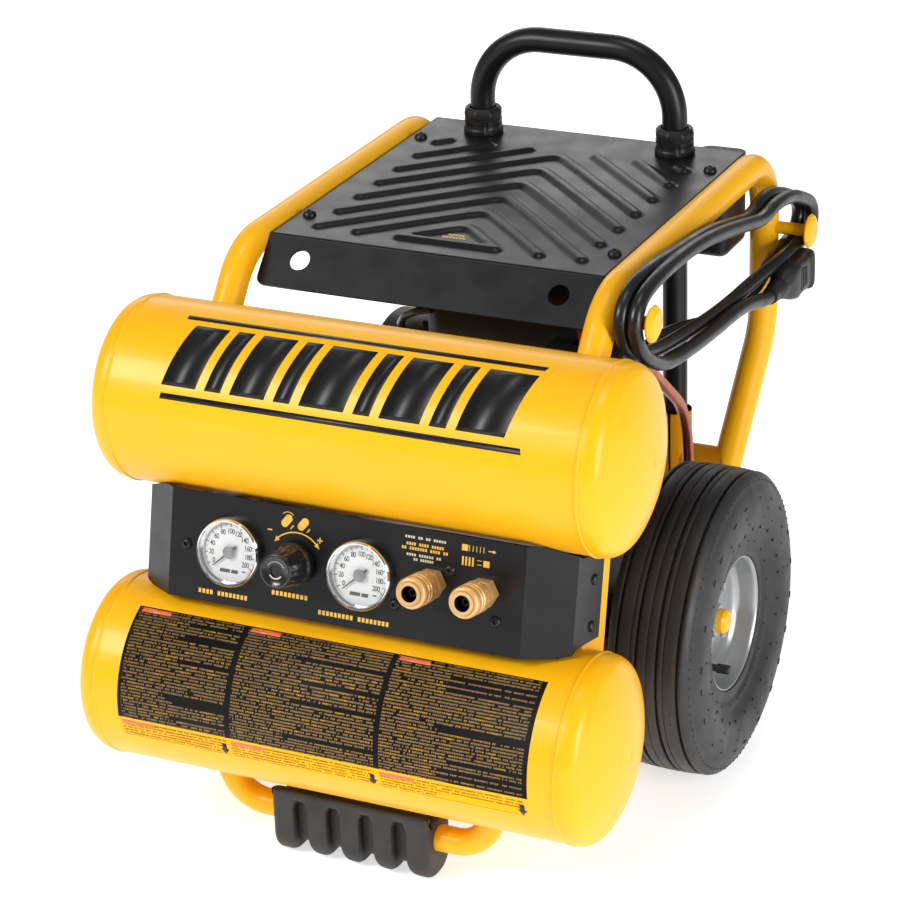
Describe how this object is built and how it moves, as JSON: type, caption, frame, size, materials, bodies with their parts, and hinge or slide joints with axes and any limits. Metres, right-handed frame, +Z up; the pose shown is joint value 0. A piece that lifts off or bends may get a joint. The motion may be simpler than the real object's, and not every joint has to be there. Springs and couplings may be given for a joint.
{
  "type": "air compressor",
  "caption": "Wheeled air compressor with stacked horizontal tanks, tubular frame, console with gauges and couplers, pull-out handle and wound power cord.",
  "frame": {"origin": "on the floor under the middle of the machine, cord left out", "axes": "+Z up, console faces -Y, +X to the right seen from the front"},
  "size_m": [0.4722, 0.6101, 0.562],
  "materials": {
    "yellow_paint": "gloss yellow powder coat",
    "black_paint": "satin black powder coat",
    "black_plastic": "fine moulded texture",
    "rubber": "matt moulded rubber",
    "cord_jacket": "smooth jacket with a soft sheen",
    "tyre": "ribbed tread, smooth side walls",
    "rim_silver": "silver paint",
    "steel": "zinc plated",
    "black_steel": "blackened",
    "brass": "turned brass",
    "chrome": "polished",
    "dial_white": "printed white dial",
    "needle_black": "painted black",
    "lens": "clear lens",
    "copper": "bare copper",
    "cast_iron": "painted casting",
    "aluminium": "as cast, blasted",
    "red_plastic": "moulded"
  },
  "bodies": {
    "frame": {"upper_tank": "yellow_paint", "lower_tank": "yellow_paint", "tank_brackets": "yellow_paint", "left_frame_tube": "yellow_paint", "right_frame_tube": "yellow_paint", "cross_tubes": "yellow_paint", "foot_tube": "yellow_paint", "top_plate": "black_paint", "console_panel": "black_paint", "motor_deck": "black_paint", "motor_shell": "black_paint", "pressure_switch": "black_plastic", "capacitor_box": "black_plastic", "fan_shroud": "black_plastic", "air_filter": "black_plastic", "foot_pad": "rubber", "rubber_mounts": "rubber", "strain_relief": "rubber", "cord_lead": "cord_jacket", "cord_coil": "cord_jacket", "plug": "cord_jacket", "screws": "black_steel", "axle": "steel", "crossover_pipe": "steel", "stator": "steel", "coupler_bodies": "brass", "relief_valve": "brass", "check_valve": "brass", "drain_valve": "brass", "regulator_body": "brass", "gauge_cases": "chrome", "gauge_dials": "dial_white", "gauge_lenses": "lens", "discharge_pipe": "copper", "crankcase": "cast_iron", "cylinder": "aluminium", "cylinder_head": "aluminium", "air_manifold": "aluminium"},
    "handle": {"handle": "black_paint"},
    "left_collar": {"left_collar": "black_plastic"},
    "right_collar": {"right_collar": "black_plastic"},
    "left_wheel": {"left_tyre": "tyre", "left_rim": "rim_silver", "left_hub_cap": "yellow_paint"},
    "right_wheel": {"right_tyre": "tyre", "right_rim": "rim_silver", "right_hub_cap": "yellow_paint"},
    "regulator_stem": {"regulator_stem": "steel"},
    "regulator_knob": {"regulator_knob": "black_plastic"},
    "left_needle": {"left_needle": "needle_black"},
    "right_needle": {"right_needle": "needle_black"},
    "left_sleeve": {"left_sleeve": "brass"},
    "right_sleeve": {"right_sleeve": "brass"},
    "power_lever": {"power_lever": "red_plastic"},
    "relief_ring": {"relief_ring": "chrome"},
    "drain_handle": {"drain_handle": "red_plastic"},
    "rotor": {"crankshaft": "steel", "cooling_fan": "black_plastic"},
    "piston": {"piston": "aluminium"},
    "connecting_rod": {"connecting_rod": "aluminium"}
  },
  "joints": [
    {"name": "left_wheel_spin", "type": "hinge", "parent": "frame", "child": "left_wheel", "pos_m": [-0.1945, 0.0376, 0.13], "axis": [1, 0, 0], "continuous": true},
    {"name": "right_wheel_spin", "type": "hinge", "parent": "frame", "child": "right_wheel", "pos_m": [0.1945, 0.0376, 0.13], "axis": [1, 0, 0], "continuous": true},
    {"name": "handle_slide", "type": "slide", "parent": "frame", "child": "handle", "axis": [0, 0, 1], "range_m": [0, 0.28]},
    {"name": "left_collar_twist", "type": "hinge", "parent": "frame", "child": "left_collar", "pos_m": [-0.0906, 0.2464, 0.47], "axis": [0, 0, 1], "range_deg": [0, 90]},
    {"name": "right_collar_twist", "type": "hinge", "parent": "frame", "child": "right_collar", "pos_m": [0.0906, 0.2464, 0.47], "axis": [0, 0, 1], "range_deg": [0, 90]},
    {"name": "regulator_turn", "type": "hinge", "parent": "frame", "child": "regulator_stem", "pos_m": [-0.041, -0.23442, 0.26311], "axis": [0, -0.9747, 0.2235], "range_deg": [-1440, 0]},
    {"name": "knob_pull", "type": "slide", "parent": "regulator_stem", "child": "regulator_knob", "axis": [0, -0.9747, 0.2235], "range_m": [0, 0.004]},
    {"name": "left_gauge_swing", "type": "hinge", "parent": "frame", "child": "left_needle", "pos_m": [-0.098, -0.23442, 0.26311], "axis": [0, 0.9747, -0.2235], "range_deg": [0, 264], "stiffness_Nm_per_rad": 0.0005},
    {"name": "right_gauge_swing", "type": "hinge", "parent": "frame", "child": "right_needle", "pos_m": [0.0165, -0.23442, 0.26311], "axis": [0, 0.9747, -0.2235], "range_deg": [0, 264], "stiffness_Nm_per_rad": 0.0005},
    {"name": "left_sleeve_slide", "type": "slide", "parent": "frame", "child": "left_sleeve", "axis": [0, 0.9747, -0.2235], "range_m": [0, 0.005], "stiffness_N_per_m": 600},
    {"name": "right_sleeve_slide", "type": "slide", "parent": "frame", "child": "right_sleeve", "axis": [0, 0.9747, -0.2235], "range_m": [0, 0.005], "stiffness_N_per_m": 600},
    {"name": "power_lever_tilt", "type": "hinge", "parent": "frame", "child": "power_lever", "pos_m": [0.132, -0.051, 0.392], "axis": [0, 1, 0], "range_deg": [0, 34]},
    {"name": "relief_pull", "type": "slide", "parent": "frame", "child": "relief_ring", "axis": [0, 1, 0], "range_m": [0, 0.003], "stiffness_N_per_m": 400},
    {"name": "drain_turn", "type": "hinge", "parent": "frame", "child": "drain_handle", "pos_m": [-0.15, -0.185, 0.054], "axis": [0, 1, 0], "range_deg": [0, 90]},
    {"name": "rotor_spin", "type": "hinge", "parent": "frame", "child": "rotor", "pos_m": [0, 0.08, 0.28], "axis": [1, 0, 0], "continuous": true},
    {"name": "piston_slide", "type": "slide", "parent": "frame", "child": "piston", "axis": [0, 0, 1], "range_m": [0, 0.04]},
    {"name": "rod_swing", "type": "hinge", "parent": "piston", "child": "connecting_rod", "pos_m": [0.067, 0.08, 0.35], "axis": [1, 0, 0], "range_deg": [-13, 13]}
  ]
}
